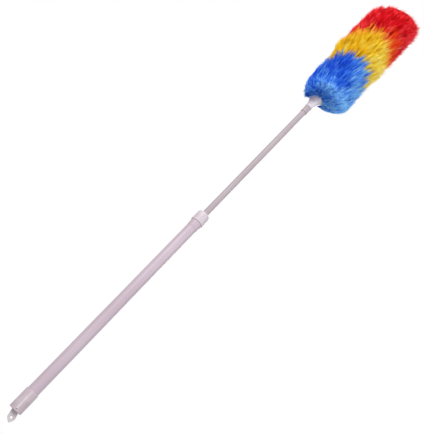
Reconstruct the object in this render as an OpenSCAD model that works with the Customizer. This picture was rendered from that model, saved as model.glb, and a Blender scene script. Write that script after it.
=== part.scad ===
// Telescopic feather duster: a two-tube pole with a twist lock, a hang tab and a fluffy striped head.
// Millimetres. +Z runs up the pole to the head, and the origin is the middle of the bare outer tube.

/* [Outer tube] */
// Length of bare tube between the end cap and the collar
grip_len = 408; // [300:1:600]
// Outside diameter of the outer tube
outer_d = 22; // [18:0.1:28]
// Wall of the outer tube
outer_wall = 1.2; // [0.8:0.1:1.6]
// Length of the tapered collar between the bare tube and the lock nut
collar_len = 16.5; // [8:0.5:30]

/* [Inner tube] */
// Length of inner tube that shows between the lock nut and the ferrule
shown_len = 336; // [200:1:420]
// Length of inner tube that stays below the top of the lock nut
held_len = 110; // [100:1:160]
// Outside diameter of the inner tube
inner_d = 12.5; // [9:0.1:15]
// Wall of the inner tube
inner_wall = 1; // [0.6:0.1:1.5]

/* [End cap and hang tab] */
// Length of the end cap
cap_len = 40; // [28:1:60]
// Wall of the cap's sleeve around the tube
cap_wall = 1.4; // [1:0.1:3]
// Length of the cap's ring that fits inside the tube
cap_ring_len = 14; // [8:1:20]
// Length of hang tab from its pivot to its tip
tab_len = 24; // [22:1:40]
// Width of the hang tab at its widest
tab_w = 14; // [13:0.5:16]
// Thickness of the hang tab
tab_t = 4; // [3:0.1:6]
// Diameter of the hole in the hang tab
tab_hole_d = 4; // [3:0.1:6]
// Diameter of the pivot pin
pin_d = 3; // [2:0.1:4]
// Lean of the hang tab at rest, in degrees
tab_lean = 15; // [0:1:25]

/* [Twist lock] */
// Length of the lock nut
nut_len = 25.5; // [24:0.5:40]
// How far the lock nut stands proud of the outer tube
nut_rise = 2.4; // [2:0.1:4]
// Radius of the lock nut's round shoulder
nut_round = 6; // [3:0.5:7]
// Distance between neighbouring thread ridges
pitch = 3; // [3:0.1:4]
// Length of the lock body that is fixed inside the outer tube
spigot_len = 30; // [20:1:40]
// Width of the slit in the collet
slit_w = 1.2; // [0.8:0.1:2]

/* [Guide bush] */
// Length of the wide part of the guide bush
bush_len = 14; // [12:1:20]
// Length of the bush that is fixed inside the inner tube
bush_stem_len = 16; // [14:1:30]
// Length of the brake ring around the bush
brake_len = 4.8; // [3:0.1:6]
// Depth of the brake ring's groove
brake_t = 1.7; // [1:0.1:2]

/* [Ferrule and tip plug] */
// Length of the ferrule
ferrule_len = 18; // [15:1:40]
// Wall of the ferrule
ferrule_wall = 1; // [0.6:0.1:2]
// Length of the tip plug that is fixed inside the inner tube
plug_len = 24; // [19:1:40]
// Length of the tip plug that the head pushes on to
spigot_out = 14; // [10:1:20]

/* [Head cup] */
// Length of the cup
cup_len = 30; // [28:1:50]
// Diameter of the cup's rim
cup_d = 33; // [28:0.5:44]
// Diameter of the cup's neck
neck_d = 16; // [15.5:0.1:20]
// Wall of the cup
cup_wall = 1.3; // [1:0.1:2]

/* [Fibre head] */
// Diameter of the fibre head
head_d = 130; // [80:1:180]
// Length of the fibre head above the cup's rim
head_len = 380; // [300:1:500]
// Length of fibre that hangs back outside the cup
skirt_len = 8; // [4:1:12]
// Sideways droop of the fibre head
droop = 8; // [0:1:14]
// Height of the blue fibres above the cup's rim
blue_len = 128; // [100:1:180]
// Height of the yellow fibres
yellow_len = 92; // [60:1:140]
// Diameter of the core wire
wire_d = 2.4; // [1.6:0.1:3]
// Length of one full twist of the core wire
wire_pitch = 48; // [40:1:80]

/* [Hidden] */
$fn = 96;

// Clearances
run_fit = 0.05;   // radial, between a shaft and the hole it turns or slides in
stop_gap = 0.2;   // along an axis, between two pieces that stop each other
free_gap = 0.3;   // radial, where two pieces pass and don't guide each other
eps = 0.01;       // how far a cutter runs past the face it cuts

// Radii of the pole
outer_r = outer_d / 2;
outer_bore = outer_r - outer_wall;
inner_r = inner_d / 2;
inner_bore = inner_r - inner_wall;
cap_r = outer_r + cap_wall;
nut_r = outer_r + nut_rise;
ferrule_r = inner_r + ferrule_wall;

// End cap and hang tab
cap_z = -grip_len / 2 - cap_len;
slot_gap = 0.4;                        // between the tab's faces and its slot
pin_r = pin_d / 2;
pin_up = 3.5;                          // pivot's height above the cap's end face
pin_z = cap_z + pin_up;
tab_root_r = tab_w / 2 - 0.9;          // round root of the tab, around the pivot
tab_widest = 0.62 * tab_len;            // from the pivot to the tab's widest place
tab_swing = 30;                        // largest lean either way, in degrees
side_lean = tab_swing + asin((tab_w / 2 - tab_root_r) / tab_widest);  // lean of the tab's side then
slot_half = (tab_root_r + free_gap + pin_up * sin(side_lean)) / cos(side_lean);
slot_top = pin_z + tab_root_r + free_gap;
cap_floor = slot_top + 2 - cap_z;      // 2 mm of solid stays above the slot
cap_ring_wall = 1.5;
tab_hole_up = tab_w / 2 + 1.5;         // from the tab's tip up to the middle of its hole

// Pole, from the bottom up
tube_bottom = cap_z + cap_floor;
collar_z = grip_len / 2;
nut_z = collar_z + collar_len;
nut_lap = 4;                           // the nut's skirt covers the end of the outer tube
tube_top = nut_z + nut_lap;
nut_top = nut_z + nut_len;
rod_bottom = nut_top - held_len;
ferrule_z = nut_top + shown_len;
rod_top = ferrule_z + ferrule_len;

// Twist lock
flange_t = 2;
thread_root = outer_r - 1.6;
thread_crest = outer_r - 0.8;
nut_minor = thread_root + 0.4;
nut_major = thread_crest + 0.4;
ridge_w = pitch * 0.3;
ridge_clear = 0.1;                     // between a body ridge and the nut ridge above it at rest
thread_count = 2;
shoulder = min(nut_round, nut_r - inner_r - free_gap - 1);  // the top keeps a 1 mm flat
thread_z = tube_top + flange_t + 1;
body_top = thread_z + thread_count * pitch + 1;
seat_h = 4;                            // height of each cone of the collet
seat_low = inner_r + 0.3 * (thread_root - inner_r);
seat_high = inner_r + 0.75 * (thread_root - inner_r);
seat_gap = 0.25;
collet_z = body_top - seat_h + seat_gap;
collet_mid = 2;
collet_top = collet_z + seat_h + collet_mid + seat_h;

// Guide bush, from the end of the inner tube down
bush_r = outer_bore - run_fit;
groove_r = bush_r - brake_t;
groove_len = brake_len + 2 * ridge_clear;
groove_z = rod_bottom - (bush_len + groove_len) / 2;
cross_pin_r = 1;
bush_pin_z = rod_bottom + bush_stem_len / 2;

// Ferrule, tip plug and cup
rivet_r = 1.2;
rivet_z = rod_top - ferrule_len / 2;
spigot_r = inner_bore - 0.2;
spigot_chamfer = 0.8;
cup_z = rod_top + stop_gap;
rim_z = cup_z + cup_len;
socket_top = rod_top + spigot_out + 1;
web = 1.8;
cavity_z = socket_top + web;
neck_r = neck_d / 2;
rim_r = cup_d / 2;
neck_len = 6;                          // straight part of the cup's neck
flare_steps = 12;
cavity_r = 6.5;                        // bottom of the cup's cavity
core_socket_h = 8;

// Core wire: one wire folded at the tip and twisted
wire_r = wire_d / 2;
leg_off = wire_r + 0.15;
core_r = leg_off + wire_r;
core_bore = core_r + 0.3;
tip_z = rim_z + head_len;
loop_z = tip_z - 20;
wire_z = cavity_z + 1;
wire_len = loop_z - wire_z;
wire_twist = -360 * wire_len / wire_pitch;
wire_sides = 8;
tip_cap_r = core_r + 2;
tip_cap_z = loop_z - 8;
tip_cap_len = 16;

// Fibre head
head_r = head_d / 2;
skirt_z = rim_z - skirt_len;
root_z = cavity_z + core_socket_h + stop_gap;  // the fibre starts here, inside the cup
heel_len = 45;                         // from the skirt up to full width
toe_round = 28;                        // rounding of the far end
skirt_r = rim_r + droop + 1;           // bottom of the skirt, measured from the drooped axis
blue_top = rim_z + blue_len;
yellow_top = blue_top + yellow_len;

// Solid ring from z up by h, outside radius r and bore b
module ring(z, h, r, b) {
    translate([0, 0, z]) difference() {
        cylinder(h = h, r = r);
        translate([0, 0, -eps]) cylinder(h = h + 2 * eps, r = b);
    }
}

// Round pin of radius r through the axis at height z, total length len, along X or Y
module cross_pin(z, r, len, along = "x") {
    translate([0, 0, z])
        rotate(along == "x" ? [0, 90, 0] : [90, 0, 0])
            cylinder(h = len, r = r, center = true, $fn = 32);
}

module outer_tube() {
    collar_top = nut_z - stop_gap;
    color([0.79, 0.72, 0.77]) rotate_extrude() polygon([
        [outer_bore, tube_bottom], [outer_r, tube_bottom], [outer_r, collar_z],
        [outer_r + 0.25 * nut_rise, collar_z + 0.25 * collar_len],
        [outer_r + 0.6 * nut_rise, collar_top], [outer_r, collar_top],
        [outer_r, tube_top], [outer_bore, tube_top]
    ]);
}

module end_cap() {
    edge = 1.2;                        // rounding of the cap's end
    ring_out = outer_bore;
    ring_in = outer_bore - cap_ring_wall;
    color([0.77, 0.70, 0.74]) difference() {
        rotate_extrude() union() {
            polygon([
                [0, cap_z], [cap_r - edge, cap_z],
                for (a = [-75:15:0]) [cap_r - edge + edge * cos(a), cap_z + edge + edge * sin(a)],
                [cap_r, cap_z + cap_len - 0.5], [cap_r - 0.5, cap_z + cap_len],
                [outer_r, cap_z + cap_len], [outer_r, tube_bottom], [0, tube_bottom]
            ]);
            translate([ring_in, tube_bottom - eps])
                square([ring_out - ring_in, cap_ring_len + eps]);
        }
        translate([-slot_half, -tab_t / 2 - slot_gap, cap_z - 1])
            cube([2 * slot_half, tab_t + 2 * slot_gap, slot_top - cap_z + 1]);
        cross_pin(pin_z, pin_r, 2 * cap_r + 2, "y");
    }
}

module hang_pin() {
    color([0.80, 0.80, 0.82]) cross_pin(pin_z, pin_r, 2 * cap_r - 1.6, "y");
}

// Leaf outline, hanging down from the pivot at [0, 0]: round root, widest near the middle, narrow tip
module leaf() {
    tip_r = 2.4;
    hull() {
        circle(r = tab_root_r, $fn = 48);
        translate([0, -tab_widest]) scale([1, 0.9]) circle(d = tab_w, $fn = 48);
        translate([0, -tab_len + tip_r]) circle(r = tip_r, $fn = 32);
    }
}

module hang_tab() {
    color([0.76, 0.70, 0.73])
    translate([0, 0, pin_z]) rotate([0, -tab_lean, 0]) rotate([90, 0, 0])
    difference() {
        linear_extrude(height = tab_t, center = true) leaf();
        cylinder(h = tab_t + 2, r = pin_r + run_fit, center = true, $fn = 32);
        translate([0, -tab_len + tab_hole_up, 0])
            cylinder(h = tab_t + 2, d = tab_hole_d, center = true, $fn = 48);
    }
}

module lock_body() {
    color([0.86, 0.84, 0.86]) difference() {
        union() {
            translate([0, 0, tube_top - spigot_len]) cylinder(h = spigot_len + eps, r = outer_bore);
            translate([0, 0, tube_top]) cylinder(h = flange_t, r = outer_r);
            translate([0, 0, tube_top]) cylinder(h = body_top - tube_top, r = thread_root);
            for (i = [0:thread_count - 1])
                translate([0, 0, thread_z + i * pitch]) cylinder(h = ridge_w, r = thread_crest);
        }
        translate([0, 0, tube_top - spigot_len - 1])
            cylinder(h = body_top - tube_top + spigot_len + 2, r = inner_r + run_fit);
        translate([0, 0, body_top - seat_h]) cylinder(h = seat_h + eps, r1 = seat_low, r2 = seat_high);
    }
}

module collet() {
    bore = inner_r + run_fit;
    color([0.93, 0.93, 0.95]) difference() {
        rotate_extrude() polygon([
            [bore, collet_z], [seat_low, collet_z], [seat_high, collet_z + seat_h],
            [seat_high, collet_z + seat_h + collet_mid], [seat_low, collet_top], [bore, collet_top]
        ]);
        translate([0, -slit_w / 2, collet_z - 1]) cube([outer_r, slit_w, collet_top - collet_z + 2]);
    }
}

// Half profile of the nut: a lip at the foot, a straight side and a round shoulder
function nut_profile() = let (lip = 0.5, lip_h = 2.6) concat(
    [[outer_r + free_gap, nut_z], [nut_r - 0.2, nut_z], [nut_r + lip, nut_z + 0.7],
     [nut_r + lip, nut_z + lip_h - 0.4], [nut_r, nut_z + lip_h], [nut_r, nut_top - shoulder]],
    [for (a = [15:15:75]) [nut_r - shoulder + shoulder * cos(a), nut_top - shoulder + shoulder * sin(a)]],
    [[nut_r - shoulder, nut_top], [inner_r + free_gap, nut_top],
     [inner_r + free_gap, collet_top + seat_gap], [seat_low, collet_top + seat_gap],
     [seat_high, collet_top - seat_h + seat_gap], [nut_minor, collet_top - seat_h + seat_gap],
     [nut_minor, thread_z - 0.8], [outer_r + free_gap, thread_z - 0.8]]);

module lock_nut() {
    color([0.87, 0.82, 0.85]) difference() {
        rotate_extrude() polygon(nut_profile());
        // Grooves, which leave the nut's ridges just above those of the body
        for (i = [0:thread_count - 1])
            translate([0, 0, thread_z + (i - 1) * pitch + 2 * ridge_w + ridge_clear])
                cylinder(h = pitch - ridge_w, r = nut_major);
    }
}

module inner_tube() {
    color([0.75, 0.68, 0.71]) difference() {
        ring(rod_bottom, rod_top - rod_bottom, inner_r, inner_bore);
        cross_pin(bush_pin_z, cross_pin_r, inner_d + 2);
        cross_pin(rivet_z, rivet_r, inner_d + 2);
    }
}

module guide_bush() {
    color([0.30, 0.30, 0.33]) difference() {
        union() {
            translate([0, 0, rod_bottom - bush_len]) cylinder(h = bush_len, r = bush_r);
            translate([0, 0, rod_bottom - eps]) cylinder(h = bush_stem_len + eps, r = inner_bore);
        }
        ring(groove_z, groove_len, bush_r + 1, groove_r);
        cross_pin(bush_pin_z, cross_pin_r, inner_d);
        translate([0, 0, rod_bottom - bush_len - 1]) cylinder(h = bush_len, r = inner_bore - 1.2);
    }
}

module bush_pin() {
    color([0.80, 0.80, 0.82]) cross_pin(bush_pin_z, cross_pin_r, inner_d - 0.4);
}

module brake_ring() {
    color([0.15, 0.15, 0.16]) difference() {
        ring(groove_z + ridge_clear, brake_len, bush_r, groove_r + run_fit);
        translate([0, -slit_w / 2, groove_z - 1]) cube([outer_r, slit_w, groove_len + 2]);
    }
}

module tip_plug() {
    color([0.86, 0.84, 0.86]) difference() {
        rotate_extrude() polygon([
            [0, rod_top - plug_len], [inner_bore, rod_top - plug_len], [inner_bore, rod_top],
            [spigot_r, rod_top], [spigot_r, rod_top + spigot_out - spigot_chamfer],
            [spigot_r - spigot_chamfer, rod_top + spigot_out], [0, rod_top + spigot_out]
        ]);
        cross_pin(rivet_z, rivet_r, inner_d);
    }
}

module ferrule() {
    color([0.76, 0.70, 0.74]) difference() {
        ring(ferrule_z, ferrule_len, ferrule_r, inner_r);
        cross_pin(rivet_z, rivet_r, 2 * ferrule_r + 2);
    }
}

module ferrule_rivet() {
    color([0.80, 0.80, 0.82]) cross_pin(rivet_z, rivet_r, 2 * ferrule_r - 0.4);
}

// The cup's outside, as a trumpet curve from the neck to the rim
function flare(s) = neck_r + (rim_r - neck_r) * pow(s, 1.7);
function flare_points(grow) = [for (i = [0:flare_steps])
    let (s = i / flare_steps) [flare(s) + grow, cup_z + neck_len + s * (cup_len - neck_len)]];

module head_cup() {
    color([0.93, 0.89, 0.92]) difference() {
        rotate_extrude() polygon(concat([[0, cup_z], [neck_r, cup_z]], flare_points(0), [[0, rim_z]]));
        translate([0, 0, cup_z - 1])
            cylinder(h = socket_top - cup_z + 1, r = spigot_r + run_fit);
        translate([0, 0, cavity_z])
            cylinder(h = rim_z - cavity_z + eps, r1 = cavity_r, r2 = rim_r - cup_wall);
    }
}

module core_socket() {
    color([0.86, 0.84, 0.86]) ring(cavity_z, core_socket_h, cavity_r, core_bore);
}

module core_wire() {
    color([0.72, 0.72, 0.74]) union() {
        translate([0, 0, wire_z])
            linear_extrude(height = wire_len, twist = wire_twist, $fn = wire_sides,
                slices = ceil(wire_sides * wire_len / wire_pitch))
                for (side = [-1, 1])
                    translate([side * leg_off, 0]) circle(r = wire_r, $fn = wire_sides);
        translate([0, 0, loop_z - 0.05]) rotate([0, 0, -wire_twist]) rotate([90, 0, 0])
            rotate_extrude(angle = 180, $fn = 2 * wire_sides)
                translate([leg_off, 0]) circle(r = wire_r, $fn = wire_sides);
    }
}

module tip_cap() {
    wall = 1.2;
    color([0.86, 0.84, 0.86]) difference() {
        translate([0, 0, tip_cap_z]) cylinder(h = tip_cap_len, r = tip_cap_r);
        translate([0, 0, tip_cap_z - 1])
            cylinder(h = tip_cap_len - wall + 1, r = core_bore);
    }
}

// Outline of the whole fluffy head: an elliptic heel, a straight side and a round toe
function head_outline() = concat(
    [[0, skirt_z], [skirt_r, skirt_z]],
    [for (a = [10:10:90]) [skirt_r + (head_r - skirt_r) * sin(a), skirt_z + heel_len * (1 - cos(a))]],
    [for (a = [0:10:80]) [head_r - toe_round + toe_round * cos(a), tip_z - toe_round + toe_round * sin(a)]],
    [[head_r - toe_round, tip_z], [0, tip_z]]);

// All the space below the height where one colour ends
module under_boundary(z) {
    translate([0, 0, cup_z]) cylinder(h = z - cup_z, r = head_r + droop + 5);
}

// Radius of the cup's cavity at height z
function cavity_at(z) = cavity_r + (rim_r - cup_wall - cavity_r) * (z - cavity_z) / (rim_z - cavity_z);

// All the fibre as one soft solid: outside the cup, and down to its root inside the cup
module fluff() {
    over_rim = rim_z + free_gap;
    difference() {
        union() {
            difference() {
                translate([droop, 0, 0]) rotate_extrude() polygon(head_outline());
                rotate_extrude() polygon(concat(
                    [[0, cup_z]], flare_points(free_gap), [[rim_r + free_gap, over_rim], [0, over_rim]]));
            }
            translate([0, 0, root_z]) cylinder(h = over_rim + 1 - root_z,
                r1 = cavity_at(root_z) - free_gap, r2 = cavity_at(over_rim + 1) - free_gap);
        }
        translate([0, 0, root_z - 1]) cylinder(h = tip_z - root_z + 2, r = core_bore);
    }
}

module fibre_blue() {
    color([0.10, 0.35, 0.85]) intersection() {
        fluff();
        under_boundary(blue_top);
    }
}

module fibre_yellow() {
    color([0.90, 0.75, 0.20]) difference() {
        intersection() {
            fluff();
            under_boundary(yellow_top);
        }
        under_boundary(blue_top);
    }
}

module fibre_red() {
    color([0.85, 0.08, 0.12]) difference() {
        fluff();
        under_boundary(yellow_top);
        translate([0, 0, tip_cap_z - free_gap]) cylinder(h = tip_z - tip_cap_z + 1, r = tip_cap_r + free_gap);
    }
}

outer_tube();
end_cap();
hang_pin();
hang_tab();
lock_body();
collet();
lock_nut();
inner_tube();
guide_bush();
bush_pin();
brake_ring();
tip_plug();
ferrule();
ferrule_rivet();
head_cup();
core_socket();
core_wire();
fibre_blue();
fibre_yellow();
fibre_red();
tip_cap();
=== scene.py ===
# %% [markdown]
# # A telescopic feather duster
#
# This lesson dresses a working model of a feather duster for a picture. The pole, its twist lock and its
# hang tab are turned and moulded parts, so their shapes come ready from the design model and only need
# finishes. The fibre head is the opposite: the design model holds three plain solids, and the look of the
# real head is made here, strand by strand. All sizes are metres, with +Z up the pole towards the head.

# %% Tools and the fixed frame
import math

import bpy
import numpy as np
from mathutils import Matrix, Vector


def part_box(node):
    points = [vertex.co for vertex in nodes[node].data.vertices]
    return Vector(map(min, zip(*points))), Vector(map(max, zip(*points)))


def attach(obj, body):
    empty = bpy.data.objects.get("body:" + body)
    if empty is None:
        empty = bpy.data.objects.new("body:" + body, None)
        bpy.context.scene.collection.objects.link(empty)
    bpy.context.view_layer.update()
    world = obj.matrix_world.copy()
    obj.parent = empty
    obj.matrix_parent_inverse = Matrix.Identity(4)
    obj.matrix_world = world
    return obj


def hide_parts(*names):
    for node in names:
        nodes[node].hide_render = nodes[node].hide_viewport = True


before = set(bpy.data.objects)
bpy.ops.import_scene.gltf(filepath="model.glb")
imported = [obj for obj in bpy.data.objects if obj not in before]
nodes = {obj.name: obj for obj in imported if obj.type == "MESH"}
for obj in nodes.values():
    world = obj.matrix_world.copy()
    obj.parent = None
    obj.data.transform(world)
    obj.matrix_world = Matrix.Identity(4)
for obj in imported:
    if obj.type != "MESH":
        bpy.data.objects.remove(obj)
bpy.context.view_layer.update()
MM = 0.001

# %% [markdown]
# ## Landmarks
#
# A part that is dressed later has to agree with the model under it. So every height used below is read from
# the boxes of the design model's own pieces: the rim of the cup, the two colour changes and the far tip.

# %% Landmarks of the head
RIM_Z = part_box("head_cup")[1].z
CUP_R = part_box("head_cup")[1].x
BLUE_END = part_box("fibre_blue")[1].z
YELLOW_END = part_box("fibre_yellow")[1].z
TIP_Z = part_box("fibre_red")[1].z
HEAD_R = (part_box("fibre_yellow")[1].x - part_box("fibre_yellow")[0].x) / 2
DROOP = (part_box("fibre_yellow")[1].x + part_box("fibre_yellow")[0].x) / 2
print(f"head: {TIP_Z - RIM_Z:.3f} m long, {2 * HEAD_R:.3f} m across, {DROOP:.3f} m off the axis")

# %% [markdown]
# ## The camera
#
# The duster is seen a little from below its handle, so the head points away and looks smaller than it would
# side on. The camera is described by what it does: how far it stands from the grip, how far the pole turns
# away from it, how steeply the pole rises in the picture, and where the grip falls in the picture. The lens
# is an assumption, and the slant and the distance go with it: a longer lens would need a longer duster that
# leans farther away.

# %% Camera
LENS = 50.0
SENSOR = 36.0
FRAME_W, FRAME_H = 425, 434
FOCAL = FRAME_H * LENS / SENSOR  # the lens in picture heights' units: the long side spans the sensor


def make_camera(distance, slant, rise, grip_right, grip_up):
    """slant: degrees the pole points away. rise: degrees it climbs. grip_right, grip_up: shares of height."""
    s, r = math.radians(slant), math.radians(rise)
    forward = Vector((0, math.cos(s), math.sin(s)))
    along = Vector((0, -math.sin(s), math.cos(s)))  # the pole's direction as the camera sees it
    side = Vector((1, 0, 0))
    right = side * math.sin(r) + along * math.cos(r)
    up = along * math.sin(r) - side * math.cos(r)
    reach = distance * FRAME_H / FOCAL
    data = bpy.data.cameras.new("camera")
    data.lens, data.sensor_width = LENS, SENSOR
    data.clip_start, data.clip_end = 0.01, 60
    camera = bpy.data.objects.new("camera", data)
    bpy.context.scene.collection.objects.link(camera)
    basis = Matrix((right, up, -forward)).transposed().to_4x4()
    spot = -forward * distance - right * grip_right * reach - up * grip_up * reach
    camera.matrix_world = Matrix.Translation(spot) @ basis
    bpy.context.scene.camera = camera
    return camera


camera = make_camera(distance=1.0929, slant=23.05, rise=46.2, grip_right=-0.2182, grip_up=-0.2004)
print("camera at", [round(x, 3) for x in camera.location])

# %% [markdown]
# ## Light
#
# Catalogue pictures of such things are lit by large soft boxes in front of white paper. Two large area lamps
# and one behind do that here. The paper itself shines white for the camera but only dimly lights the
# duster, or the pole's sides would wash out: the world's Light Path node tells the two apart.

# %% World, lamps and floor
scene = bpy.context.scene
scene.view_settings.view_transform = "Standard"


def make_world(seen, lit):
    """A plain white world that looks `seen` bright and lights things `lit` bright."""
    world = bpy.data.worlds.new("paper")
    world.use_nodes = True
    tree = world.node_tree
    background = tree.nodes["Background"]
    path = tree.nodes.new("ShaderNodeLightPath")
    mix = tree.nodes.new("ShaderNodeMix")
    mix.inputs["A"].default_value = lit
    mix.inputs["B"].default_value = seen
    tree.links.new(path.outputs["Is Camera Ray"], mix.inputs["Factor"])
    tree.links.new(mix.outputs["Result"], background.inputs["Strength"])
    background.inputs["Color"].default_value = (1, 1, 1, 1)
    scene.world = world


def soft_box(name, spot, aim, size, power, tint=(1, 1, 1)):
    """A square area lamp at spot that faces aim."""
    data = bpy.data.lights.new(name, "AREA")
    data.shape, data.size = "SQUARE", size
    data.energy, data.color = power, tint
    lamp = bpy.data.objects.new(name, data)
    scene.collection.objects.link(lamp)
    lamp.location = spot
    lamp.rotation_mode = "QUATERNION"
    lamp.rotation_quaternion = (Vector(aim) - Vector(spot)).to_track_quat("-Z", "Y")
    return lamp


make_world(seen=1.0, lit=0.60)
MIDDLE = (0, 0, 0.4)
soft_box("key", (-1.6, -2.0, 1.6), MIDDLE, 1.6, 66, (1, 0.98, 0.97))
soft_box("fill", (2.0, -1.5, 1.2), MIDDLE, 1.6, 32, (0.97, 0.98, 1))
soft_box("back", (0.6, 2.4, 1.4), MIDDLE, 1.8, 30)

# %% [markdown]
# ## Writing shaders as sums
#
# A finish is mostly arithmetic: this much of one colour, a little more where the noise is high. The small
# class below wraps an output socket, so `0.3 + 0.1 * noise` adds the Math nodes by itself. Everything else
# goes through `Finish.node`, which sets a node's own settings first and then its sockets.


# %% Sockets that can be added and multiplied
class Wire:
    """An output socket of one finish, for use in sums."""

    def __init__(self, finish, socket):
        self.finish, self.socket = finish, socket

    def maths(self, operation, a, b=0.0):
        return self.finish.node("Math", {"operation": operation}, {0: a, 1: b})

    def __add__(self, other):
        return self.maths("ADD", self, other)

    __radd__ = __add__

    def __sub__(self, other):
        return self.maths("SUBTRACT", self, other)

    def __rsub__(self, other):
        return self.maths("SUBTRACT", other, self)

    def __mul__(self, other):
        return self.maths("MULTIPLY", self, other)

    __rmul__ = __mul__

    def __pow__(self, other):
        return self.maths("POWER", self, other)


class Finish:
    """A material and its Principled shader. Plain numbers go straight on the shader's own sockets."""

    def __init__(self, name, **constants):
        self.material = bpy.data.materials.new(name)
        self.material.use_nodes = True
        self.tree = self.material.node_tree
        self.shader = self.tree.nodes["Principled BSDF"]
        for socket, value in constants.items():
            self.shader.inputs[socket.replace("_", " ")].default_value = value

    def node(self, kind, settings=None, sockets=None, out=0):
        made = self.tree.nodes.new("ShaderNode" + kind)
        for key, value in (settings or {}).items():
            if key == "stops":
                self.set_stops(made.color_ramp, value)
            else:
                setattr(made, key, value)
        for key, value in (sockets or {}).items():
            self.feed(made.inputs[key], value)
        return Wire(self, made.outputs[out])

    @staticmethod
    def set_stops(ramp, stops):
        while len(ramp.elements) < len(stops):
            ramp.elements.new(0.5)
        for element, (place, colour) in zip(ramp.elements, stops):
            element.position, element.color = place, colour

    def feed(self, socket, value):
        if isinstance(value, Wire):
            self.tree.links.new(value.socket, socket)
        else:
            socket.default_value = value

    def drive(self, **sockets):
        """Links what varies over the surface, such as Base_Color, Roughness or Normal."""
        for socket, value in sockets.items():
            self.feed(self.shader.inputs[socket.replace("_", " ")], value)
        return self.material

    # The few shader ideas that most finishes share
    def place(self, stretch=(1, 1, 1)):
        """Object coordinates, squeezed so that a pattern stretches the other way."""
        where = self.node("TexCoord", out="Object")
        return self.node("Mapping", sockets={"Vector": where, "Scale": stretch})

    def noise(self, scale, detail=2.0, stretch=(1, 1, 1), sharp=0.5):
        """Smooth noise between 0 and 1, about `scale` bumps to the metre."""
        sockets = {"Vector": self.place(stretch), "Scale": scale, "Detail": detail, "Roughness": sharp}
        return self.node("TexNoise", sockets=sockets)

    def mask(self, value, low, high):
        """0 below low, 1 above high, with a straight slope between."""
        limits = {"Value": value, "From Min": low, "From Max": high}
        return self.node("MapRange", {"clamp": True}, limits)

    def blend(self, share, a, b):
        """Colour a where share is 0 and colour b where it is 1."""
        return self.node("Mix", {"data_type": "RGBA"}, {0: share, 6: a, 7: b}, out=2)

    def bump(self, height, depth, strength=1.0):
        """A normal from a height between 0 and 1 that stands `depth` metres deep."""
        return self.node("Bump", sockets={"Height": height, "Distance": depth, "Strength": strength})


def srgb(r, g, b):
    """A picture colour, 0 to 255, as the linear colour that shaders use."""
    def linear(c):
        c = c / 255
        return c / 12.92 if c <= 0.04045 else ((c + 0.055) / 1.055) ** 2.4

    return (linear(r), linear(g), linear(b), 1.0)


# %% [markdown]
# ## Finishes of the pole
#
# The outer tube has a thin satin film over the metal. A film like that is never quite even: its colour drifts
# slowly along the tube, its gloss is broken up by fine lines that run lengthwise, and the places that a hand
# or the lock rubs are a little duller. The noise is stretched along Z to draw those lines.


# %% The satin film on the tubes
def tube_finish(name, light, dark, metal, gloss):
    """Slow drift between two close colours, lengthwise lines in the gloss, and faint scuffs."""
    film = Finish(name, Metallic=metal, IOR=1.48)
    drift = film.noise(9, detail=3, stretch=(6, 6, 1))
    lines = film.noise(900, detail=2, stretch=(1, 1, 0.02))
    scuffs = film.mask(film.noise(60, detail=6, stretch=(1, 1, 0.35), sharp=0.75), 0.62, 0.72)
    colour = film.blend(film.mask(drift, 0.3, 0.7), light, dark)
    colour = film.blend(scuffs * 0.22, colour, srgb(236, 228, 232))
    rough = gloss + 0.10 * lines + 0.12 * scuffs
    normal = film.bump(lines + 0.4 * scuffs, 0.01 * MM, 0.3)
    return film.drive(Base_Color=colour, Roughness=rough, Normal=normal)


TUBE_FILM = tube_finish("tube_film", srgb(190, 175, 186), srgb(181, 163, 175), 0.0, 0.40)
ROD_FILM = tube_finish("rod_film", srgb(173, 162, 168), srgb(161, 148, 154), 0.0, 0.46)

# %% [markdown]
# ## Moulded plastics
#
# The cap, the nut and the cup are moulded. Moulded plastic has a fine even grain, a soft mottle where the
# melt cooled at different speeds, and slightly paler edges where it has been knocked. The Geometry node's
# Pointiness finds those edges from the mesh itself, so no edge has to be painted by hand.


# %% Moulded plastic
def moulded(name, light, dark, gloss, coat=0.0, grain=1600, sheen_through=0.0):
    """Satin plastic: mottled colour, paler edges, fine grain."""
    plastic = Finish(name, IOR=1.5, Coat_Weight=coat, Coat_Roughness=0.18)
    plastic.shader.inputs["Subsurface Weight"].default_value = sheen_through
    plastic.shader.inputs["Subsurface Radius"].default_value = (0.004, 0.003, 0.003)
    mottle = plastic.noise(70, detail=4)
    fine = plastic.noise(grain, detail=1)
    edge = plastic.mask(plastic.node("NewGeometry", out="Pointiness"), 0.52, 0.62)
    colour = plastic.blend(plastic.mask(mottle, 0.35, 0.65), light, dark)
    colour = plastic.blend(edge * 0.35, colour, srgb(244, 238, 241))
    rough = gloss + 0.12 * fine + 0.08 * mottle
    normal = plastic.bump(fine, 0.02 * MM, 0.6)
    return plastic.drive(Base_Color=colour, Roughness=rough, Normal=normal)


CAP_PLASTIC = moulded("cap_plastic", srgb(184, 169, 177), srgb(171, 154, 163), 0.36)
TAB_PLASTIC = moulded("tab_plastic", srgb(164, 155, 160), srgb(150, 139, 145), 0.5)
NUT_PLASTIC = moulded("nut_plastic", srgb(200, 190, 196), srgb(191, 179, 186), 0.36)
CUP_PLASTIC = moulded("cup_plastic", srgb(216, 208, 216), srgb(200, 186, 196), 0.24,
                      coat=0.3, sheen_through=0.15)
INNER_PLASTIC = moulded("inner_plastic", srgb(228, 226, 230), srgb(212, 210, 216), 0.42)
BUSH_PLASTIC = moulded("bush_plastic", srgb(62, 62, 66), srgb(44, 44, 48), 0.45)


# %% [markdown]
# ## Pins, wire and the brake ring
#
# The small inner pieces show only when the pole is pulled apart, but a viewer may do just that, so they get
# finishes too: drawn steel with lines round its length, and rubber that is dull with a dusty bloom.


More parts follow.
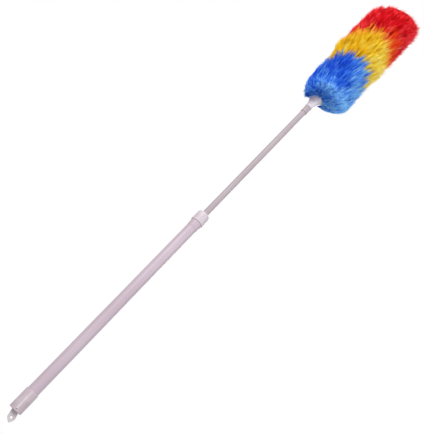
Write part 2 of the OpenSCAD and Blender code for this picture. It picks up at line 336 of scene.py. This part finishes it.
# %% Steel and rubber
def drawn_steel():
    steel = Finish("drawn_steel", Metallic=1.0)
    lines = steel.noise(2200, detail=2, stretch=(1, 1, 0.05))
    colour = steel.blend(lines, srgb(168, 168, 172), srgb(206, 206, 210))
    return steel.drive(Base_Color=colour, Roughness=0.24 + 0.2 * lines, Normal=steel.bump(lines, 0.01 * MM))


def dull_rubber():
    rubber = Finish("dull_rubber", IOR=1.52)
    bloom = rubber.noise(350, detail=5)
    colour = rubber.blend(rubber.mask(bloom, 0.4, 0.8), srgb(28, 28, 30), srgb(66, 65, 66))
    return rubber.drive(Base_Color=colour, Roughness=0.7 + 0.15 * bloom, Normal=rubber.bump(bloom, 0.05 * MM))


STEEL = drawn_steel()
RUBBER = dull_rubber()

# %% Finishes on the design model's own pieces
FINISHES = {
    "outer_tube": TUBE_FILM,
    "inner_tube": ROD_FILM,
    "ferrule": ROD_FILM,
    "end_cap": CAP_PLASTIC,
    "hang_tab": TAB_PLASTIC,
    "lock_nut": NUT_PLASTIC,
    "head_cup": CUP_PLASTIC,
    "lock_body": INNER_PLASTIC,
    "collet": INNER_PLASTIC,
    "tip_plug": INNER_PLASTIC,
    "core_socket": INNER_PLASTIC,
    "tip_cap": INNER_PLASTIC,
    "guide_bush": BUSH_PLASTIC,
    "brake_ring": RUBBER,
    "hang_pin": STEEL,
    "bush_pin": STEEL,
    "ferrule_rivet": STEEL,
    "core_wire": STEEL,
}


def dress(piece, material):
    """Puts one material in every slot of a piece."""
    piece.data.materials.clear()
    piece.data.materials.append(material)


for name, material in FINISHES.items():
    dress(nodes[name], material)
print("dressed", len(FINISHES), "pieces of the design model")

# %% [markdown]
# ## The outline of the fibre head
#
# Before any strand is grown, the head needs an outline: where the strand tips end. A round profile is not
# enough, because the head droops to one side and both its ends are cut at a slant. So the outline is a stack
# of tilted rings. Each ring is given by its left edge, its right edge, its half width in depth, how far its
# front and back stand above the line between its edges, and how far it leans: the back stands higher by that
# much and the front lower. Sideways numbers are shares of the head's radius, and heights are shares of its
# length counted from the cup's rim.

# %% Outline
HEAD_L = TIP_Z - RIM_Z
PROFILE = np.array([
    # left x, left z, right x, right z, half width, lift of front and back, lean
    (-0.23, -0.011, 0.23, -0.001, 0.22, 0.00, 0.08),
    (-0.38, -0.045, 0.42, 0.021, 0.42, 0.33, 0.30),
    (-0.52, -0.014, 0.71, 0.042, 0.57, 0.28, 0.41),
    (-0.63, 0.036, 0.92, 0.060, 0.69, 0.17, 0.46),
    (-0.69, 0.107, 1.05, 0.089, 0.80, 0.05, 0.48),
    (-0.74, 0.199, 1.06, 0.163, 0.83, 0.00, 0.45),
    (-0.72, 0.292, 1.03, 0.284, 0.82, 0.00, 0.43),
    (-0.80, 0.386, 1.08, 0.386, 0.88, 0.00, 0.46),
    (-0.86, 0.452, 1.15, 0.463, 0.92, 0.00, 0.48),
    (-0.83, 0.531, 1.12, 0.565, 0.89, 0.00, 0.46),
    (-0.85, 0.621, 1.09, 0.673, 0.91, 0.00, 0.48),
    (-0.89, 0.710, 1.15, 0.789, 0.94, 0.00, 0.49),
    (-0.86, 0.784, 1.11, 0.878, 0.91, 0.00, 0.48),
    (-0.83, 0.831, 1.08, 0.931, 0.86, 0.00, 0.45),
    (-0.75, 0.863, 1.02, 0.957, 0.78, 0.00, 0.42),
    (-0.65, 0.889, 0.91, 0.973, 0.69, 0.00, 0.35),
    (-0.49, 0.907, 0.75, 0.978, 0.54, 0.00, 0.28),
    (-0.28, 0.923, 0.52, 0.973, 0.34, 0.00, 0.17),
    (0.05, 0.942, 0.23, 0.952, 0.06, 0.00, 0.03),
]) * [HEAD_R, HEAD_L, HEAD_R, HEAD_L, HEAD_R, HEAD_R, HEAD_R] + [0, RIM_Z, 0, RIM_Z, 0, 0, 0]
steps = np.hypot(np.diff(PROFILE[:, [0, 2]].mean(1)), np.diff(PROFILE[:, [1, 3]].mean(1)))
steps = np.hypot(steps, np.diff(PROFILE[:, 4]))
RUN = np.concatenate([[0], np.cumsum(steps)]) / steps.sum()  # share of the way from the cup to the far end


def lumps(angle, s):
    """Slow swellings of the surface, as a share of the radius."""
    return (0.020 * np.sin(3 * angle + 9 * s + 0.4) + 0.016 * np.sin(5 * angle - 21 * s + 1.9)
            + 0.014 * np.sin(2 * angle + 38 * s + 3.1))


def surface(s, angle, depth=1.0):
    """The point at share s of the way and at this angle. A depth below 1 lies inside."""
    left_x, left_z, right_x, right_z, half, lift, lean = (np.interp(s, RUN, column) for column in PROFILE.T)
    swell = depth * (1 + lumps(angle, s))
    x = (left_x + right_x) / 2 + (right_x - left_x) / 2 * np.cos(angle) * swell
    z = (left_z + right_z) / 2 + (right_z - left_z) / 2 * np.cos(angle) * swell
    z = z + lift * np.sin(angle) ** 2 + lean * np.sin(angle) * swell
    return np.stack([x, half * np.sin(angle) * swell, z], -1)


def colour_change(end, angle):
    """Height where a colour ends: lower at the head's left and right than in front and behind."""
    return end - HEAD_L * (0.037 * np.cos(2 * angle) - 0.009 * np.cos(angle))


print("outline:", len(PROFILE), "rings, swells by", round(float(lumps(np.linspace(0, 6, 99), 0.5).max()), 3))

# %% [markdown]
# ## Growing strands
#
# Each strand is rooted on the wire core, leaves it sideways and bends forward, so a curve with one handle
# (a quadratic Bezier) fits it. The lowest ones are rooted in the mouth of the cup and fan out from there,
# which gives the head its long streaks near the cup. Strands come in tufts that share a root and a tone and
# draw together at the tip, which is what makes the head look brushed and not furry. A strand is a thin
# three-sided spike, closed at both ends, and all the strands of a piece are built at once with arrays: a
# loop over them would take hours.

# %% Tufts and strands
LEVELS = 4         # rings of a strand below its tip
SIDES = 3
POINTS = LEVELS * SIDES + 1


def tuft_tips(rng, count):
    """Share, angle and place of tuft tips, spread evenly over the whole outline."""
    s = np.linspace(0, 1, 2001)
    share = np.cumsum(0.004 + np.interp(s, RUN, PROFILE[:, 4]))
    share = (share - share[0]) / (share[-1] - share[0])
    s = np.interp((np.arange(count) + rng.random(count)) / count, share, s)
    angle = rng.random(count) * 2 * math.pi
    depth = np.clip(rng.normal(0.985, 0.022, count), 0.9, 1.02)
    return s, angle, surface(s, angle, depth)


def strand_curves(rng, tip, per_tuft):
    """Root, handle and tip of each strand, and the number of the tuft it belongs to."""
    tuft = np.repeat(np.arange(len(tip)), per_tuft)
    n, tip = len(tuft), tip[tuft]
    low = np.clip((BLUE_END - tip[:, 2]) / (BLUE_END - RIM_Z), 0, 1)  # 1 at the cup, 0 from the yellow on
    out = np.stack([tip[:, 0], tip[:, 1], np.zeros(n)], 1)
    reach = np.linalg.norm(out, axis=1, keepdims=True)
    out = out / (reach + 1e-6)
    root = np.zeros((n, 3))
    root[:, 2] = np.clip(tip[:, 2] - 0.050 - 0.050 * low, RIM_Z - 0.003, TIP_Z - 0.028)
    in_cup = np.clip(1 - (root[:, 2] - RIM_Z) / 0.02, 0, 1)
    root += out * (0.003 + 0.008 * in_cup * np.clip(reach[:, 0] / 0.03, 0, 1))[:, None]
    tip = root + (tip - root) * (0.90 + 0.12 * rng.random(n) ** 1.3)[:, None]
    climb = np.clip((tip[:, 2] - RIM_Z) / 0.06, 0, 1)  # strands that climb first run out, then forward
    taut = low * np.clip(1.3 * np.abs(out[:, 1]), 0, 1)  # in front and behind, the lowest are combed straight
    handle = root + out * reach * (0.55 + 0.15 * climb + 0.12 * climb * low - 0.28 * taut)[:, None]
    forward = 0.42 - 0.20 * climb + 0.05 * climb * low + 0.22 * taut
    handle[:, 2] = root[:, 2] + forward * (tip[:, 2] - root[:, 2])
    handle[:, 2] = np.maximum(handle[:, 2], RIM_Z + 0.010)
    handle += rng.normal(size=(n, 3)) * 0.0035
    root += rng.normal(size=(n, 3)) * 0.0012
    tip = tip + rng.normal(size=(n, 3)) * 0.0016
    return root, handle, tip, tuft


def spikes(rng, root, handle, tip, start, width, curl):
    """Points of thin closed spikes along the curves, from share `start` of each curve to its tip."""
    n = len(root)
    along = np.linspace(0, 1, LEVELS + 1)
    t = start[:, None, None] + (1 - start[:, None, None]) * along[None, :, None]
    line = (1 - t) ** 2 * root[:, None] + 2 * t * (1 - t) * handle[:, None] + t * t * tip[:, None]
    wave = np.sin(rng.random((n, 1, 1)) * 6.28 + 5.0 * along[None, :, None]) * along[None, :, None]
    line = line + rng.normal(size=(n, 1, 3)) * curl * wave
    run = line[:, -1] - line[:, 0]
    run /= np.linalg.norm(run, axis=1, keepdims=True) + 1e-9
    helper = np.where(np.abs(run[:, 2:3]) < 0.9, [[0, 0, 1.0]], [[1.0, 0, 0]])
    u = np.cross(run, helper)
    u /= np.linalg.norm(u, axis=1, keepdims=True)
    v = np.cross(run, u)
    turn = rng.random(n) * 6.28
    turns = [turn + 2 * math.pi * k / SIDES for k in range(SIDES)]
    spokes = [np.cos(a)[:, None] * u + np.sin(a)[:, None] * v for a in turns]
    taper = 0.5 * width[:, None] * (1 - 0.72 * along[:-1] ** 1.6)
    rings = line[:, :-1, None] + np.stack(spokes, 1)[:, None] * taper[:, :, None, None]
    return np.concatenate([rings.reshape(n, -1, 3), line[:, -1:]], 1).reshape(-1, 3)


def spike_faces(n):
    """Quads up the sides, one triangle at the root and three at the tip, for n spikes."""
    last = (LEVELS - 1) * SIDES
    ring = [(k, (k + 1) % SIDES) for k in range(SIDES)]
    quads = [(r * SIDES + a, r * SIDES + b, (r + 1) * SIDES + b, (r + 1) * SIDES + a)
             for r in range(LEVELS - 1) for a, b in ring]
    tris = [(last + a, last + b, POINTS - 1) for a, b in ring] + [(2, 1, 0)]
    shift = (np.arange(n) * POINTS)[:, None, None]
    return (np.array(quads) + shift).reshape(-1, 4), (np.array(tris) + shift).reshape(-1, 3)


def mesh_piece(name, points, quads, tris, material, strand):
    """A mesh from arrays that rides the head. strand holds three numbers a point, for the finish."""
    mesh = bpy.data.meshes.new(name)
    mesh.vertices.add(len(points))
    mesh.vertices.foreach_set("co", points.astype(np.float32).ravel())
    corners = np.concatenate([quads.ravel(), tris.ravel()]).astype(np.int32)
    mesh.loops.add(len(corners))
    mesh.loops.foreach_set("vertex_index", corners)
    starts = np.concatenate([np.arange(len(quads)) * 4, len(quads) * 4 + np.arange(len(tris)) * 3])
    mesh.polygons.add(len(starts))
    mesh.polygons.foreach_set("loop_start", starts.astype(np.int32))
    mesh.polygons.foreach_set("use_smooth", np.ones(len(starts), bool))
    layer = mesh.attributes.new("strand", "FLOAT_VECTOR", "POINT")
    layer.data.foreach_set("vector", strand.astype(np.float32).ravel())
    mesh.update(calc_edges=True)
    mesh.validate()
    mesh.materials.append(material)
    piece = bpy.data.objects.new(name, mesh)
    scene.collection.objects.link(piece)
    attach(piece, "head")
    return piece

# %% [markdown]
# ## Dyed fibre, with painted light and shade
#
# The fibre is split plastic film, dyed through. A strand is painted darkest at its root, as painted shade
# where little light gets in, and pale at its tip. Every tuft took the dye a little differently. The mesh
# carries three
# numbers for each point: the tuft's tone with the painted light and shade of its place on the head, the share
# of the way up the strand, and how much of the neighbouring band's dye it took. The finish mixes five dyes
# with them, so the deep and pale dyes also stand for painted shade and painted light.


# %% Fibre finish
def dyed_fibre(name, deep, mid, bright, pale, next_dye, gloss=0.5):
    fibre = Finish(name, Specular_IOR_Level=0.08)
    numbers = fibre.node("Attribute", {"attribute_name": "strand"}, out="Vector")
    split = {"Vector": numbers}
    tone_and_painted_light = fibre.node("SeparateXYZ", sockets=split, out="X")
    along = fibre.node("SeparateXYZ", sockets=split, out="Y")
    edge = fibre.node("SeparateXYZ", sockets=split, out="Z")
    patch = fibre.noise(34, detail=3)
    # Painted shade and light mixed with dye: along darkens each strand towards its root as painted shade, the
    # tone brings each tuft's own dye with the painted light and shade of its place, and the patch noise
    # varies it at random.
    depth = 0.42 * along + 0.62 * tone_and_painted_light + 0.5 * (patch - 0.5)
    colour = fibre.blend(fibre.mask(depth, 0.06, 0.42), deep, mid)
    colour = fibre.blend(fibre.mask(depth, 0.42, 0.74), colour, bright)
    colour = fibre.blend(fibre.mask(depth, 0.76, 1.08), colour, pale)
    colour = fibre.blend(fibre.mask(edge * (0.4 + 0.6 * along), 0.2, 0.9), colour, next_dye)
    streak = fibre.noise(1400, detail=2, stretch=(1, 1, 0.2))
    return fibre.drive(Base_Color=colour, Roughness=gloss + 0.18 * streak,
                       Normal=fibre.bump(streak, 0.04 * MM, 0.4))


BLUE = dyed_fibre("blue_fibre", srgb(0, 34, 196), srgb(24, 92, 234), srgb(84, 162, 255), srgb(160, 222, 255),
                  srgb(142, 146, 122))
YELLOW = dyed_fibre("yellow_fibre", srgb(190, 130, 0), srgb(242, 186, 14), srgb(255, 224, 44),
                    srgb(255, 244, 140), srgb(255, 160, 54))
RED = dyed_fibre("red_fibre", srgb(158, 0, 4), srgb(224, 0, 14), srgb(255, 30, 48), srgb(255, 128, 134),
                 srgb(255, 96, 8))

# %% [markdown]
# ## The fleece under the strands
#
# The strands that show are only the outer layer. Below them the head is packed so full that no light passes.
# That part is one closed, crumpled body for each colour, built here in place of the design model's plain
# solid, and painted in that colour's darkest dye as shade, since so little light gets in. It costs few faces,
# and it hides the wire core, so each strand is only drawn from where it leaves the fleece.


# %% Fleece bodies
AROUND = 96
TURN = np.arange(AROUND) / AROUND * 2 * math.pi
FLEECE = 0.76      # how much of the outline's depth the fleece fills


def share_at(z):
    """Share of the way from the cup at which the outline's middle reaches height z."""
    return float(np.interp(z, PROFILE[2:, [1, 3]].mean(1), RUN[2:]))


def fleece(name, low, high, material, node):
    """A closed crumpled body between two shares of the way. A low of 0 starts in the mouth of the cup."""
    s = np.linspace(max(low, RUN[2] + 0.03), high, 40)[:, None]
    crumple = 1 + 0.05 * np.sin(9 * TURN + 60 * s) * np.sin(13 * TURN - 80 * s)
    crumple = crumple + 0.03 * np.sin(23 * TURN + 150 * s)
    rows = surface(s, TURN[None, :], FLEECE * crumple)
    if low == 0:
        mouth = [np.stack([r * np.cos(TURN), r * np.sin(TURN), np.full(AROUND, RIM_Z + z)], 1)
                 for r, z in ((0.68 * CUP_R, -0.003), (0.76 * CUP_R, 0.0015))]
        rows = np.concatenate([mouth, rows])
    count = len(rows)
    points = np.concatenate([rows.reshape(-1, 3), rows[0].mean(0)[None], rows[-1].mean(0)[None]])
    foot = count * AROUND
    quads = [(i * AROUND + j, i * AROUND + (j + 1) % AROUND, (i + 1) * AROUND + (j + 1) % AROUND,
              (i + 1) * AROUND + j) for i in range(count - 1) for j in range(AROUND)]
    tris = [((j + 1) % AROUND, j, foot) for j in range(AROUND)]
    tris += [(foot - AROUND + j, foot - AROUND + (j + 1) % AROUND, foot + 1) for j in range(AROUND)]
    # Painted shade: a low tone at the root end of the strand gives the fleece the deepest dye.
    strand = np.tile([0.12, 0.0, 0.0], (len(points), 1))
    piece = mesh_piece(name, points, np.array(quads), np.array(tris), material, strand)
    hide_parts(node)


BLUE_S = share_at(BLUE_END - 0.065 * HEAD_L)
YELLOW_S = share_at(YELLOW_END - 0.065 * HEAD_L)
fleece("blue_fleece", 0, BLUE_S, BLUE, "fibre_blue")
fleece("yellow_fleece", BLUE_S, YELLOW_S, YELLOW, "fibre_yellow")
fleece("red_fleece", YELLOW_S, 0.97, RED, "fibre_red")

# %% [markdown]
# ## Tufts, band by band
#
# All the tufts are placed at once over the whole head. Each then takes the colour of the band its tip lies
# in, and the tufts next to a colour change take a little of the other dye. Each tuft's tone differs a little
# at random, and on top of that it carries painted light and shade: the thin fringe that hangs down is painted
# pale as if lit through from behind, some places are painted lighter where light falls, and the middle of
# each band is painted deep as shade.

# %% Tones, with painted light and shade
rng = np.random.default_rng(730)
TUFTS = 4700
PER_TUFT = 9
s, angle, tips = tuft_tips(rng, TUFTS)
tips[:, 2] += rng.normal(size=TUFTS) * 0.002


def spot(angle_at, z_at, wide_angle, wide_z):
    """1 at one place on the surface, fading out around it."""
    turn = (angle - math.radians(angle_at) + math.pi) % (2 * math.pi) - math.pi
    return np.exp(-(turn / math.radians(wide_angle)) ** 2 - ((tips[:, 2] - z_at) / wide_z) ** 2)


height = (tips[:, 2] - RIM_Z) / HEAD_L
tone_and_painted_light = rng.normal(0.46, 0.25, TUFTS)
# Painted light and shade: the random tone above is each tuft's own dye, and each spot below paints it lighter
# where light falls or darker where shade lies; the first is the thin fringe that hangs down, painted pale as
# if lit through from behind.
tone_and_painted_light += 0.60 * spot(0, RIM_Z + 0.05, 55, 0.06)   # thin pale fringe that hangs down
tone_and_painted_light += 0.30 * spot(-90, RIM_Z + 0.02, 90, 0.03)
tone_and_painted_light += 0.30 * spot(-60, BLUE_END - 0.02, 32, 0.03)
tone_and_painted_light -= 0.60 * spot(-112, RIM_Z + 0.085, 48, 0.045)
tone_and_painted_light += 0.44 * spot(-40, (BLUE_END + YELLOW_END) / 2, 50, 0.07)
tone_and_painted_light -= 0.34 * spot(-130, (BLUE_END + YELLOW_END) / 2, 40, 0.05)
tone_and_painted_light -= 0.25 * spot(-95, YELLOW_END + 0.06, 60, 0.045)
tone_and_painted_light = np.clip(tone_and_painted_light, 0, 1.15)

blue_end = colour_change(BLUE_END, angle) + rng.normal(size=TUFTS) * 0.005
yellow_end = colour_change(YELLOW_END, angle) + rng.normal(size=TUFTS) * 0.004
is_blue = tips[:, 2] < blue_end
is_red = tips[:, 2] > yellow_end
near_end = np.clip(1.5 - (yellow_end - tips[:, 2]) / 0.020, 0, 1.2)
hang = np.clip(np.cos(angle + math.radians(20)), 0, 1)
edge = np.select(
    [is_blue, is_red],
    [np.clip(1 - (blue_end - tips[:, 2]) / 0.012, 0, 1) * 0.8,
     np.clip(1.4 - (tips[:, 2] - yellow_end) / 0.040, 0, 1) * (0.15 + 1.3 * hang)],
    near_end)
print("tufts:", int(is_blue.sum()), "blue,", int(is_red.sum()), "red, of", TUFTS)


# %% Pieces of at most 9,000 strands
def tuft_pieces(name, chosen, material, start, width=0.0013):
    """Meshes for the chosen tufts. start is the share of each strand that the fleece hides."""
    rng = np.random.default_rng(len(name))
    picked = np.flatnonzero(chosen)
    parts = math.ceil(len(picked) * PER_TUFT / 9000)
    for number, group in enumerate(np.array_split(picked[np.argsort(angle[picked])], parts), 1):
        root, handle, tip, tuft = strand_curves(rng, tips[group], PER_TUFT)
        n = len(tuft)
        starts = start + 0.05 * rng.random(n)
        points = spikes(rng, root, handle, tip, starts, width * (0.65 + 0.7 * rng.random(n)), 0.0012)
        along = np.concatenate([np.repeat(np.linspace(0, 1, LEVELS + 1)[:-1], SIDES), [1.0]])
        # Painted light: near the cup the share up the strand is raised, so the roots that lie open there lose
        # their painted root shade.
        lit = np.clip(1 - (tips[group][tuft][:, 2] - RIM_Z) / 0.07, 0, 1) * 0.6  # roots near the cup lie open
        strand = np.stack([
            np.repeat(tone_and_painted_light[group][tuft] + rng.normal(0, 0.24, n), POINTS),
            np.tile(along, n) * (1 - np.repeat(lit, POINTS)) + np.repeat(lit, POINTS),
            np.repeat(edge[group][tuft] * (0.4 + 0.6 * rng.random(n)), POINTS),
        ], 1)
        quads, tris = spike_faces(n)
        mesh_piece(f"{name}_{number}", points, quads, tris, material, strand)
        print(f"{name}_{number}: {n} strands, {2 * len(quads) + len(tris)} triangles")


tuft_pieces("blue_tufts", is_blue, BLUE, start=0.30)
tuft_pieces("yellow_tufts", ~is_blue & ~is_red, YELLOW, start=0.38)
tuft_pieces("red_tufts", is_red, RED, start=0.38)

# %% [markdown]
# ## The floor
#
# The duster is held up in the air, as in use, so the floor is well below it and only catches soft light.


# %% Floor
def make_floor(z, half):
    mesh = bpy.data.meshes.new("floor")
    corners = [(-half, -half, z), (half, -half, z), (half, half, z), (-half, half, z)]
    mesh.from_pydata(corners, [], [(0, 1, 2, 3)])
    floor = bpy.data.objects.new("floor", mesh)
    scene.collection.objects.link(floor)
    paint = Finish("floor_paint")
    cloud = paint.noise(3, detail=2)
    colour = paint.blend(cloud, (0.80, 0.80, 0.80, 1), (0.84, 0.84, 0.84, 1))
    dress(floor, paint.drive(Base_Color=colour, Roughness=0.6 + 0.2 * cloud))


make_floor(-2.2, 3.0)
